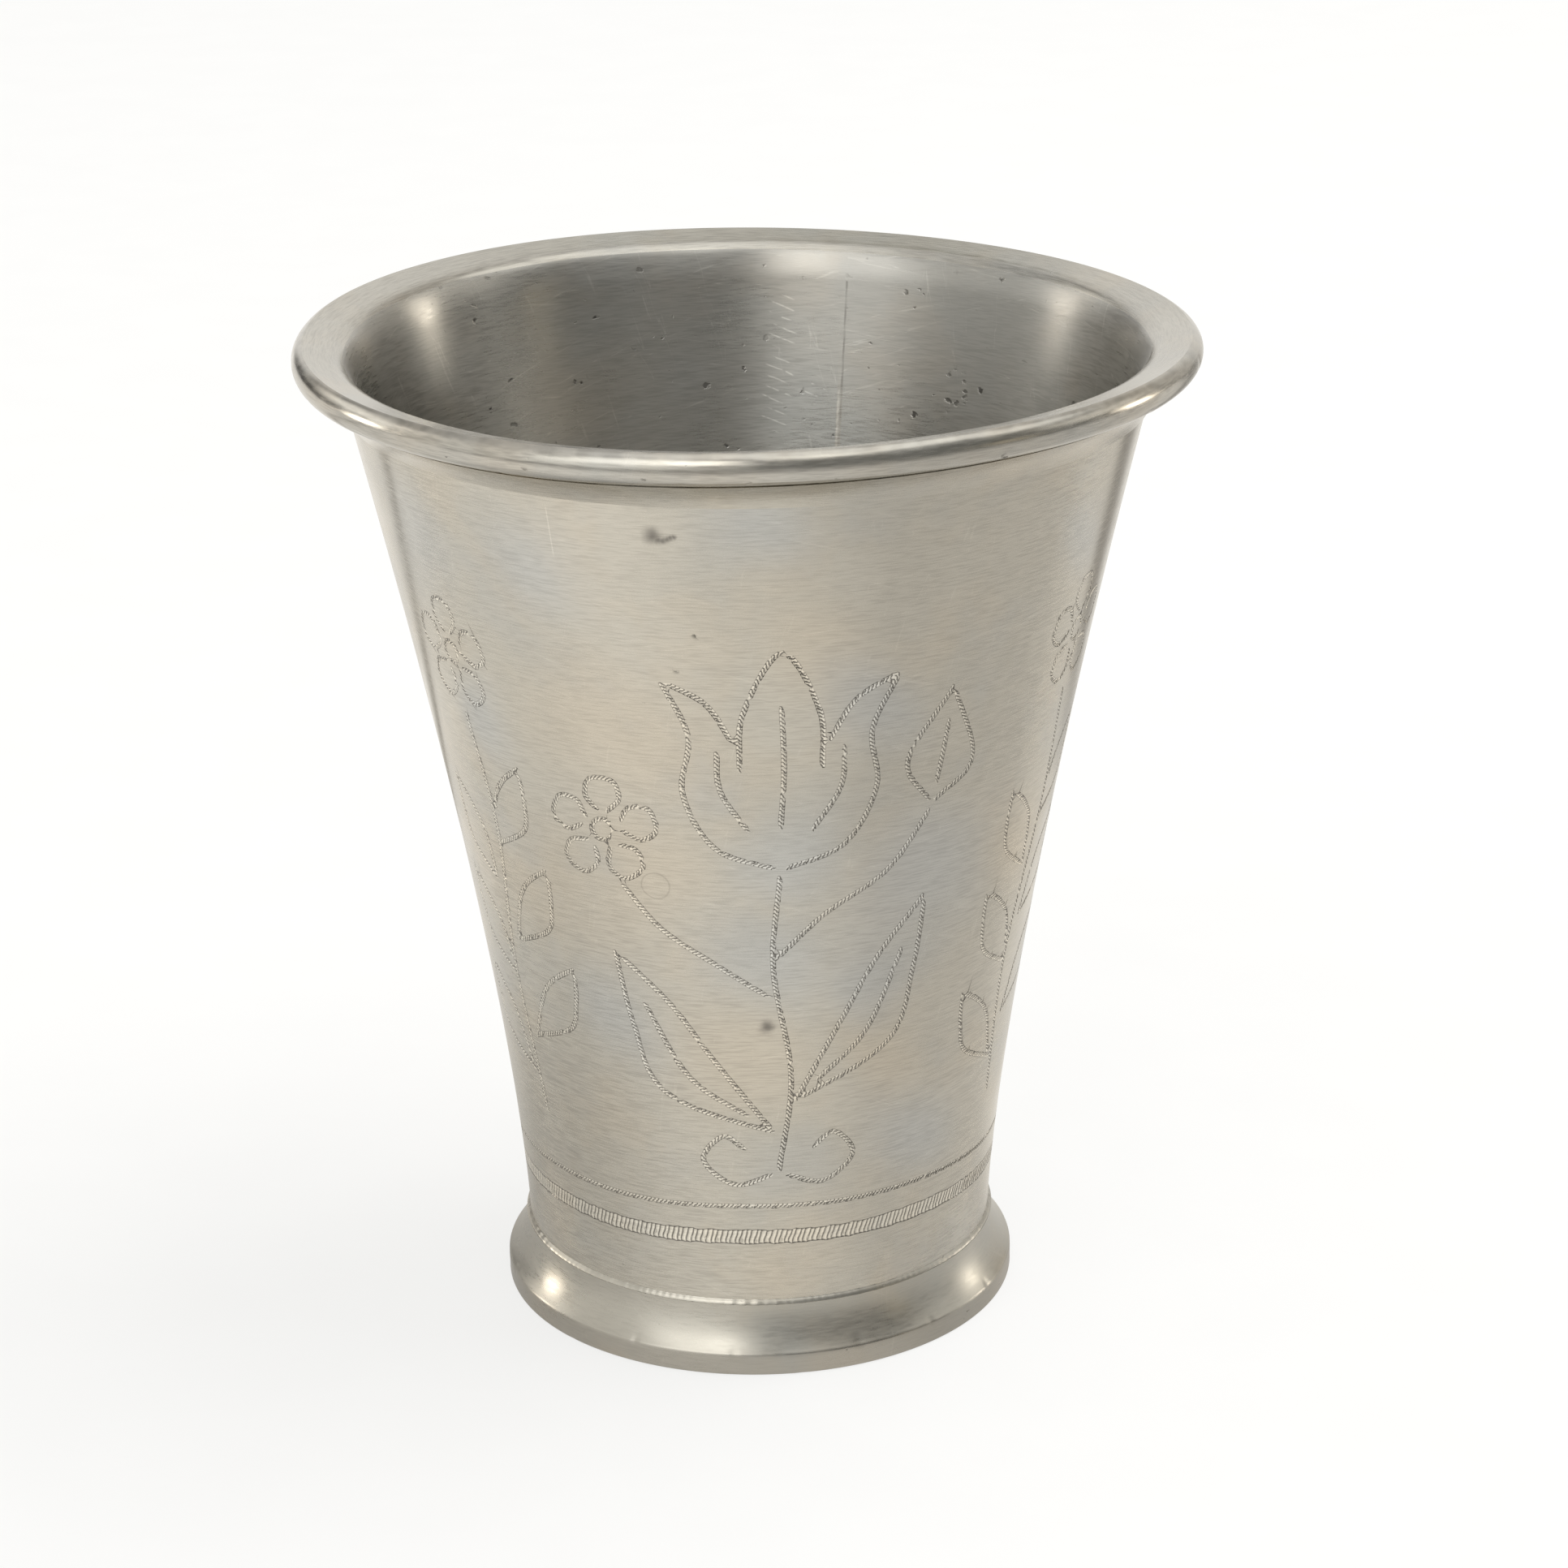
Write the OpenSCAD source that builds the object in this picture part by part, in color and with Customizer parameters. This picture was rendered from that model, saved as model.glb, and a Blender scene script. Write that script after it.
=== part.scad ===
// Pewter beaker: a rolled and soldered flaring wall, a turned rim moulding, a turned foot and a base disc.
// Millimetres. +Z is up, the origin is on the axis at the level the foot stands on, the front is -Y.

/* [Overall] */
// Height from the standing face to the top of the rim
height = 113.5; // [80:0.5:150]

/* [Body] */
// Outer diameter of the wall where it leaves the foot
body_foot_d = 54.1; // [46:0.1:66]
// Outer diameter of the wall where it enters the rim moulding
body_top_d = 88.1; // [70:0.1:108]
// Wall thickness, measured straight outwards
wall = 1.6; // [1.2:0.05:2.4]
// Bend of the outline: 1 is a straight cone, more keeps the lower wall upright
flare = 1.35; // [1.1:0.01:1.7]

/* [Rim] */
// Roundness of the lip from the inner wall to the top
lip_r = 4.2; // [3:0.05:5.2]
// Width of the level stretch on top of the lip
lip_flat = 0.65; // [0.2:0.05:1.5]
// Radius of the round bead at the rim's edge
bead_r = 1.85; // [1.4:0.05:2.3]
// Height of the hollow collar under the bead
collar_h = 3.25; // [2.8:0.05:4.2]
// How far the collar's hollow is sunk below a straight slope
collar_sag = 0.35; // [0.1:0.05:0.6]
// How far the collar's top stays behind the bead's edge
collar_inset = 2.05; // [1.7:0.05:2.6]
// Width of the turned line between bead and collar
groove_w = 0.3; // [0.2:0.05:0.5]
// Depth of that line
groove_d = 0.35; // [0.2:0.05:0.5]
// How far the wall's top edge reaches up into the moulding
rim_lap = 2.2; // [1.6:0.1:2.7]
// Thickness left on the moulding's lower edge
skirt_edge = 0.3; // [0.25:0.05:0.6]

/* [Foot] */
// Height of the foot, up to its top edge on the wall
foot_h = 7.7; // [6.2:0.1:10]
// How far the foot spreads beyond the wall
foot_spread = 2.65; // [2:0.05:3.6]
// Height of the upright band round the foot
band_h = 2.65; // [1.8:0.05:3.4]
// How far the foot's hollow is sunk below a straight slope
foot_sag = 0.45; // [0.1:0.05:0.7]
// Thickness left on the foot's top edge
foot_edge = 0.3; // [0.25:0.05:0.6]
// Width of the ring that the beaker stands on
rest_w = 2.9; // [2.2:0.1:3.8]
// Rounding of the standing edge
standing_edge_r = 0.3; // [0.1:0.05:0.5]
// Height of the ledge that carries the wall and the base
ledge_z = 4.4; // [3.6:0.1:5.4]
// Thickness of the ledge
ledge_t = 1.4; // [1:0.1:2]
// How far the ledge reaches in under the base
ledge_w = 3; // [2:0.1:5]

/* [Base] */
// Thickness of the base disc
base_t = 2; // [1.4:0.1:2.8]

/* [Solder] */
// Thickness of the solder in the ring joints
film = 0.12; // [0.08:0.01:0.2]
// Width of the upright seam in the wall
seam_w = 0.7; // [0.4:0.05:1.2]
// Direction of the seam, counted from +X
seam_angle = 74; // [0:1:359]
// Size of the fillet round the inside of the base
base_fillet = 1; // [0.6:0.1:1.4]
// Height of the fine fillet on the foot's top edge
foot_fillet = 0.5; // [0.3:0.05:0.8]

/* [Hidden] */
$fn = 144;

// Steps in the wall's flaring outline
wall_steps = 20;
// Degrees between the points of the small turned profiles
arc_step = 6;

foot_wall_r = body_foot_d / 2;
top_wall_r = body_top_d / 2;

// Levels at the foot
base_top = ledge_z + base_t;
straight_top = max(foot_h + foot_fillet, base_top + base_fillet);

// Levels and slope at the rim
bead_bottom = height - 2 * bead_r;
groove_bottom = bead_bottom - groove_w;
skirt_z = groove_bottom - collar_h;
wall_top = skirt_z + rim_lap;
flare_rise = skirt_z - straight_top;
top_slope = flare * (top_wall_r - foot_wall_r) / flare_rise;
wall_top_r = top_wall_r + top_slope * rim_lap;

// The lip's round touches the inner wall's line and the level top
slope_len = sqrt(1 + top_slope * top_slope);
lip_z = height - lip_r;
lip_x = wall_top_r - wall + top_slope * (lip_z - wall_top) + lip_r * slope_len;
lip_tilt = atan(top_slope);

// Radii of the rim and the foot
bead_x = lip_x + lip_flat;
rim_r = bead_x + bead_r;
collar_top_r = rim_r - collar_inset;
skirt_r = top_wall_r + film + skirt_edge;
foot_r = foot_wall_r + foot_spread;
foot_top_r = foot_wall_r + film + foot_edge;
inner_foot_r = foot_wall_r - wall;
base_r = inner_foot_r - film;

pewter = [0.66, 0.64, 0.60];
bright_pewter = [0.72, 0.70, 0.66];
solder_grey = [0.58, 0.57, 0.55];

// Outer radius of the wall at a level between the straight foot part and the rim
function wall_r(z) =
    foot_wall_r + (top_wall_r - foot_wall_r) * pow((z - straight_top) / flare_rise, flare);

// Levels of the flaring stretch, bottom to top
function flare_levels() = [for (i = [0 : wall_steps]) straight_top + flare_rise * i / wall_steps];

// Outline of the wall set in by a given depth, bottom to top
function wall_line(depth) = concat(
    [[foot_wall_r - depth, ledge_z]],
    [for (z = flare_levels()) [wall_r(z) - depth, z]],
    [[wall_top_r - depth, wall_top]]
);

// Points on an arc, from one angle to another
function arc(centre, radius, from, to) =
    let (count = max(2, ceil(abs(to - from) / arc_step)))
    [for (i = [0 : count]) let (a = from + (to - from) * i / count) centre + radius * [cos(a), sin(a)]];

// Points on a shallow hollow between two points, sunk to the left of the way from a to b
function hollow(a, b, sag) =
    let (
        span = b - a,
        chord = norm(span),
        radius = (chord * chord / 4 + sag * sag) / (2 * sag),
        across = [-span[1], span[0]] / chord,
        centre = (a + b) / 2 - across * (radius - sag),
        half = asin(chord / 2 / radius),
        middle = atan2(across[1], across[0])
    )
    arc(centre, radius, middle + half, middle - half);

function reversed(points) = [for (i = [len(points) - 1 : -1 : 0]) points[i]];

module wall_shell() {
    rotate_extrude()
        polygon(concat(wall_line(0), reversed(wall_line(wall))));
}

// The slot that the two edges of the rolled sheet leave between them
module seam_slot() {
    rotate([0, 0, seam_angle])
        translate([foot_wall_r / 2, -seam_w / 2, 0])
            cube([rim_r, seam_w, height]);
}

module body_wall() {
    color(pewter)
        difference() {
            wall_shell();
            seam_slot();
        }
}

module seam_solder() {
    color(solder_grey)
        intersection() {
            wall_shell();
            seam_slot();
        }
}

// Cast and turned ring: lip, bead, turned line and collar, with a rebate for the wall's top edge
module rim_moulding() {
    seat_z = wall_top + film;
    seat_r = wall_top_r + top_slope * film + film;
    seat_inner_r = wall_top_r + top_slope * film - wall;
    color(bright_pewter)
        rotate_extrude()
            polygon(concat(
                [[seat_inner_r, seat_z], [seat_r, seat_z], [top_wall_r + film, skirt_z]],
                hollow([skirt_r, skirt_z], [collar_top_r, groove_bottom], collar_sag),
                [[collar_top_r - groove_d, groove_bottom + groove_w / 2]],
                arc([bead_x, height - bead_r], bead_r, -90, 90),
                arc([lip_x, lip_z], lip_r, 90, 180 - lip_tilt)
            ));
}

// Solder between the wall's top edge and the rebate in the rim
module rim_solder() {
    seat_z = wall_top + film;
    seat_r = wall_top_r + top_slope * film;
    color(solder_grey)
        rotate_extrude()
            polygon([
                [top_wall_r, skirt_z],
                [top_wall_r + film, skirt_z],
                [seat_r + film, seat_z],
                [seat_r - wall, seat_z],
                [wall_top_r - wall, wall_top],
                [wall_top_r, wall_top]
            ]);
}

// Cast and turned foot: upright band, hollow slope, and a ledge inside for the wall and the base
module foot_ring() {
    ledge_r = inner_foot_r - ledge_w;
    color(bright_pewter)
        rotate_extrude()
            polygon(concat(
                [[foot_r - rest_w, 0]],
                arc([foot_r - standing_edge_r, standing_edge_r], standing_edge_r, -90, 0),
                hollow([foot_r, band_h], [foot_top_r, foot_h], foot_sag),
                [
                    [foot_wall_r + film, foot_h],
                    [foot_wall_r + film, ledge_z],
                    [ledge_r, ledge_z],
                    [ledge_r, ledge_z - ledge_t]
                ]
            ));
}

// Solder between the wall and the foot, with a fine fillet on the foot's top edge
module foot_solder() {
    color(solder_grey)
        rotate_extrude()
            polygon([
                [foot_wall_r, ledge_z],
                [foot_wall_r + film, ledge_z],
                [foot_wall_r + film, foot_h],
                [foot_top_r - film, foot_h],
                [foot_wall_r, foot_h + foot_fillet]
            ]);
}

module base_disc() {
    color(pewter)
        translate([0, 0, ledge_z])
            cylinder(r = base_r, h = base_t);
}

// Solder round the base disc, with a hollow fillet against the wall
module base_solder() {
    color(solder_grey)
        rotate_extrude()
            polygon(concat(
                [[base_r, ledge_z], [inner_foot_r, ledge_z]],
                arc([inner_foot_r - base_fillet, base_top + base_fillet], base_fillet, 0, -90),
                [[base_r, base_top]]
            ));
}

body_wall();
seam_solder();
rim_moulding();
rim_solder();
foot_ring();
foot_solder();
base_disc();
base_solder();
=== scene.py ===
import math
import random
from math import cos, pi, radians, sin

import bpy
import numpy as np
from mathutils import Matrix, Vector
from mathutils.geometry import delaunay_2d_cdt


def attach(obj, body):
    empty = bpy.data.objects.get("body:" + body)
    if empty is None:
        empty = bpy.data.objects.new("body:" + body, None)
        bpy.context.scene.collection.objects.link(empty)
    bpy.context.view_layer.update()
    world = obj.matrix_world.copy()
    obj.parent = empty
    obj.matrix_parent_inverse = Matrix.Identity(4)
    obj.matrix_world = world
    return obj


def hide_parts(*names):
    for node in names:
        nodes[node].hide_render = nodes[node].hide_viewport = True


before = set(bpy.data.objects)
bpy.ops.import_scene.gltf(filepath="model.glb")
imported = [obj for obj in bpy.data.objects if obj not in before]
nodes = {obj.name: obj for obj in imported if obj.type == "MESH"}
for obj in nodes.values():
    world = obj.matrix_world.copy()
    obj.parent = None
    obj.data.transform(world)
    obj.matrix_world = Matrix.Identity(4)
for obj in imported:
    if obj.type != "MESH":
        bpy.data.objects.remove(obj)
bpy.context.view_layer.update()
random.seed(1719)

# Sizes in millimetres, the same as in the construction model
MM = 0.001
HEIGHT = 113.5
FOOT_WALL_R = 27.05
TOP_WALL_R = 44.05
WALL = 1.6
FLARE = 1.35
LIP_R = 4.2
LIP_FLAT = 0.65
BEAD_R = 1.85
COLLAR_H = 3.25
COLLAR_SAG = 0.35
COLLAR_INSET = 2.05
GROOVE_W = 0.3
GROOVE_D = 0.35
RIM_LAP = 2.2
EDGE = 0.3
FILM = 0.12
FOOT_H = 7.7
FOOT_SPREAD = 2.65
BAND_H = 2.65
FOOT_SAG = 0.45
REST_W = 2.9
STANDING_EDGE_R = 0.3
LEDGE_Z = 4.4
LEDGE_T = 1.4
LEDGE_W = 3.0
BASE_T = 2.0
SEAM_W = 0.7
FOOT_FILLET = 0.5

# The seam stands at the back, counted from the front towards the viewer's right
SEAM_TURN = radians(164)

STRAIGHT_TOP = FOOT_H + FOOT_FILLET
GROOVE_BOTTOM = HEIGHT - 2 * BEAD_R - GROOVE_W
SKIRT_Z = GROOVE_BOTTOM - COLLAR_H
WALL_TOP = SKIRT_Z + RIM_LAP
FLARE_RISE = SKIRT_Z - STRAIGHT_TOP
TOP_SLOPE = FLARE * (TOP_WALL_R - FOOT_WALL_R) / FLARE_RISE
WALL_TOP_R = TOP_WALL_R + TOP_SLOPE * RIM_LAP
LIP_Z = HEIGHT - LIP_R
LIP_X = WALL_TOP_R - WALL + TOP_SLOPE * (LIP_Z - WALL_TOP) + LIP_R * math.hypot(1, TOP_SLOPE)
BEAD_X = LIP_X + LIP_FLAT
RIM_R = BEAD_X + BEAD_R
COLLAR_TOP_R = RIM_R - COLLAR_INSET
FOOT_R = FOOT_WALL_R + FOOT_SPREAD
INNER_FOOT_R = FOOT_WALL_R - WALL

# Hand-made departures of the wall from the true round
OVAL = 0.09
THREE_SIDED = 0.05
SMALL_WAVES = 0.015
FINE_RINGS = 0.006


# The wall's form
def wall_radius(z):
    """Outer radius of the wall at each level."""
    rise = np.clip((z - STRAIGHT_TOP) / FLARE_RISE, 0, 1)
    flared = FOOT_WALL_R + (TOP_WALL_R - FOOT_WALL_R) * rise ** FLARE
    return flared + TOP_SLOPE * np.clip(z - SKIRT_Z, 0, None)


def wall_unevenness(turn, z):
    """Slight hand-made departure from the true round, nil at foot and rim."""
    free = np.sin(pi * np.clip((z - STRAIGHT_TOP) / FLARE_RISE, 0, 1))
    wave = OVAL * np.sin(2 * turn + 0.6) + THREE_SIDED * np.sin(3 * turn + z / 26 + 1.9)
    ripple = SMALL_WAVES * np.sin(7 * turn - z / 15) + FINE_RINGS * np.sin(z / 3.7 + 2 * np.sin(3 * turn))
    return free * (wave + ripple)


def place_round(turn, radius, z):
    """Points in millimetres at a turn from the front, a radius and a level."""
    return np.stack([radius * np.sin(turn), -radius * np.cos(turn), z], axis=-1)


def wall_point(turn, z, sunk=0):
    return place_round(turn, wall_radius(z) + wall_unevenness(turn, z) - sunk, z)


def wall_normal(turn, z):
    """Outward direction of the plain wall."""
    step = 0.05
    turn_step = step / wall_radius(z)
    rightward = wall_point(turn + turn_step, z) - wall_point(turn - turn_step, z)
    upward = wall_point(turn, z + step) - wall_point(turn, z - step)
    normal = np.cross(rightward, upward)
    return normal / np.linalg.norm(normal, axis=-1, keepdims=True)


# Meshes
def placed(name, data):
    """A new object in the scene."""
    thing = bpy.data.objects.new(name, data)
    bpy.context.scene.collection.objects.link(thing)
    return thing


def quads(*corners):
    """Faces from four lists of points, one for each corner."""
    return np.stack([corner.ravel() for corner in corners], axis=1).tolist()


def make_piece(name, points, faces, replaced, materials, material_of_face=None):
    """A mesh piece, from points in millimetres, that stands for a node of the construction model."""
    mesh = bpy.data.meshes.new(name)
    mesh.from_pydata((points * MM).tolist(), [], faces)
    for material in materials:
        mesh.materials.append(material)
    if material_of_face is not None:
        mesh.polygons.foreach_set("material_index", material_of_face)
    mesh.polygons.foreach_set("use_smooth", [True] * len(mesh.polygons))
    mesh.update()
    piece = placed(name, mesh)
    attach(piece, "root")
    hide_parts(replaced)
    return piece


def arc(centre, radius, start, end, step=7.5):
    """Points on an arc, angles in degrees."""
    count = max(2, math.ceil(abs(end - start) / step))
    angles = np.radians(np.linspace(start, end, count + 1))
    return [(centre[0] + radius * cos(a), centre[1] + radius * sin(a)) for a in angles]


def hollow(a, b, sag, count=16):
    """Points on a shallow hollow from a to b, sunk to the left of that way."""
    t = np.linspace(0, 1, count + 1)
    along = np.subtract(b, a)
    across = np.array([-along[1], along[0]]) / np.hypot(*along)
    line = np.outer(1 - t, a) + np.outer(t, b) + np.outer(4 * sag * t * (1 - t), across)
    return [tuple(p) for p in line]


def painted(points, material):
    """Profile points whose faces take the material with that number."""
    return [(r, z, material) for r, z in points]


RIM_STEPS = 720
FOOT_STEPS = 640
BASE_STEPS = 180


def lathe(name, profile, steps, shift, replaced, materials, sharp=28, capped=False):
    """A turned ring with a closed profile of (radius, level, material) points, made uneven by any shift.

    A capped one is a disc: its profile runs from the middle of the lower face to that of the upper one.
    """
    profile = np.array(profile)
    count = len(profile)
    turn = np.linspace(0, 2 * pi, steps, endpoint=False)[:, None]
    radius, level = [np.tile(column, (steps, 1)) for column in profile.T[:2]]
    more_radius, more_level = shift(turn, radius, level) if shift else (0, 0)
    points = place_round(turn + 0 * radius, radius + more_radius, level + more_level).reshape(-1, 3)
    bands = count - 1 if capped else count
    here = np.arange(steps * count).reshape(steps, count)
    there = np.roll(here, -1, axis=0)
    next_here, next_there = np.roll(here, -1, axis=1), np.roll(there, -1, axis=1)
    faces = quads(*[corner[:, :bands] for corner in (here, there, next_there, next_here)])
    material_of_face = np.tile(profile[:bands, 2].astype(int), steps).tolist()
    if capped:
        faces += [here[::-1, 0].tolist(), here[:, -1].tolist()]
        material_of_face += [int(profile[0, 2]), int(profile[-1, 2])]
    piece = make_piece(name, points, faces, replaced, materials, material_of_face)
    piece.data.set_sharp_from_angle(angle=radians(sharp))
    return piece


def dents(turn, radius, level, marks):
    """Inward push of small dents, each given as turn in degrees, level, reach and depth."""
    push = np.zeros(np.broadcast(turn, radius).shape)
    for mark_turn, mark_level, reach, depth in marks:
        apart = (turn - radians(mark_turn) + pi) % (2 * pi) - pi
        square = ((apart * radius) ** 2 + (level - mark_level) ** 2) / reach ** 2
        push += depth * np.clip(1 - square, 0, None) ** 2
    return push


# Nodes
class Tree:
    """A short way to write node trees."""

    def __init__(self, tree):
        self.tree = tree
        tree.nodes.clear()

    def add(self, kind, inputs=None, **settings):
        node = self.tree.nodes.new("ShaderNode" + kind)
        for name, value in settings.items():
            setattr(node, name, value)
        for name, value in (inputs or {}).items():
            if isinstance(value, bpy.types.NodeSocket):
                self.tree.links.new(value, node.inputs[name])
            else:
                node.inputs[name].default_value = value
        return node

    def math(self, operation, a, b=0.0, clamp=False):
        return self.add("Math", {0: a, 1: b}, operation=operation, use_clamp=clamp).outputs[0]

    def plus(self, a, b, clamp=False):
        return self.math("ADD", a, b, clamp)

    def minus(self, a, b):
        return self.math("SUBTRACT", a, b)

    def times(self, a, b, clamp=False):
        return self.math("MULTIPLY", a, b, clamp)

    def larger(self, a, b):
        return self.math("MAXIMUM", a, b)

    def vector(self, operation, a, b=(0, 0, 0)):
        node = self.add("VectorMath", {0: a, 1: b}, operation=operation)
        return node.outputs["Value" if operation in ("DISTANCE", "DOT_PRODUCT", "LENGTH") else "Vector"]

    def combine(self, x=0.0, y=0.0, z=0.0):
        return self.add("CombineXYZ", {"X": x, "Y": y, "Z": z}).outputs[0]

    def ramp(self, value, start, end, low=0.0, high=1.0):
        """Smooth step of a value between start and end."""
        inputs = {"Value": value, "From Min": start, "From Max": end, "To Min": low, "To Max": high}
        return self.add("MapRange", inputs, interpolation_type="SMOOTHSTEP").outputs["Result"]

    def noise(self, vector, scale, detail=2.0, roughness=0.5):
        inputs = {"Vector": vector, "Scale": scale, "Detail": detail, "Roughness": roughness}
        return self.add("TexNoise", inputs).outputs["Fac"]

    def ragged(self, vector, scale, reach):
        """The place pushed about by noise, for uneven outlines."""
        push = self.add("TexNoise", {"Vector": vector, "Scale": scale, "Detail": 3.0}).outputs["Color"]
        push = self.vector("MULTIPLY", self.vector("SUBTRACT", push, (0.5, 0.5, 0.5)), (reach, reach, reach))
        return self.vector("ADD", vector, push)

    def blend(self, factor, a, b):
        return self.add("Mix", {0: factor, 6: a, 7: b}, data_type="RGBA").outputs[2]

    def shade(self, colour, amount):
        """A colour made lighter or darker by an amount round 1."""
        return self.vector("MULTIPLY", colour, self.combine(amount, amount, amount))

    def lighten(self, colour, mask, amount):
        """A colour made lighter by a share where the mask is 1."""
        return self.shade(colour, self.plus(self.times(mask, amount), 1.0))

    def attribute(self, name):
        return self.add("Attribute", attribute_name=name).outputs["Fac"]

    def hump(self, value, start, high, still_high, end):
        """Rises smoothly from start to high, and falls from still_high to end."""
        return self.times(self.ramp(value, start, high), self.ramp(value, end, still_high))


FLECK_SHARPNESS = 6


def flecks(tree, place, spacing, largest, share):
    """Small spots, one at most in each cell, in some of the cells. Sizes in millimetres."""
    cells = tree.add("TexVoronoi", {"Vector": place, "Scale": 1 / spacing}, feature="F1")
    chance = tree.add("SeparateColor", {0: cells.outputs["Color"]}).outputs[0]
    reach = tree.ramp(chance, 1 - share, 1.0, 0.0, largest / spacing)
    within = tree.minus(reach, cells.outputs["Distance"])
    return tree.times(within, FLECK_SHARPNESS * spacing, clamp=True)


def tilted(tree, flat, degrees):
    """A place on the unrolled surface, turned by an angle."""
    inputs = {"Vector": flat, "Angle": radians(degrees)}
    return tree.add("VectorRotate", inputs, rotation_type="Z_AXIS").outputs[0]


def scratches(tree, flat, tilt, length, spacing, width):
    """Fine lines on the unrolled surface, at a tilt in degrees."""
    stretched = tree.vector("MULTIPLY", tilted(tree, flat, tilt), (1 / length, 1 / spacing, 1.0))
    near = tree.math("ABSOLUTE", tree.minus(tree.noise(stretched, 1.0, 1.0), 0.5))
    sparse = tree.ramp(tree.noise(tree.vector("ADD", stretched, (7.3, 2.9, 4.1)), 0.6, 1.0), 0.6, 0.7)
    return tree.times(tree.ramp(near, width, 0.0), sparse)


def rub_lines(tree, flat, tilt, spacing):
    """Short parallel lines on the unrolled surface, at a tilt in degrees."""
    across = tree.add("SeparateXYZ", {0: tree.ragged(tilted(tree, flat, tilt), 0.3, 0.5)}).outputs[1]
    wave = tree.math("SINE", tree.times(across, 2 * pi / spacing))
    broken = tree.ramp(tree.noise(flat, 0.8, 1.0), 0.38, 0.5)
    return tree.times(tree.ramp(wave, 0.8, 1.0), broken)


def spots(tree, place, marks, depth, soft):
    """Round spots on the wall, each a turn in degrees, a level and a reach."""
    total = None
    for turn_degrees, z, reach in marks:
        middle = place_round(radians(turn_degrees), float(wall_radius(z)) - depth, z)
        spot = tree.ramp(tree.vector("DISTANCE", place, middle), reach, reach * soft)
        total = spot if total is None else tree.larger(total, spot)
    return total


# The worn metal: radius of the unrolled pattern, share of the radius in the way up, colours of dirt, and how
# much more than a scratch a rub shows
PATTERN_R = 38.0
RADIUS_SHARE = 0.7
DIRT = (0.12, 0.11, 0.10, 1)
PIT_DIRT = (0.085, 0.08, 0.07, 1)
RUB_CONTRAST = 2.2


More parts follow.
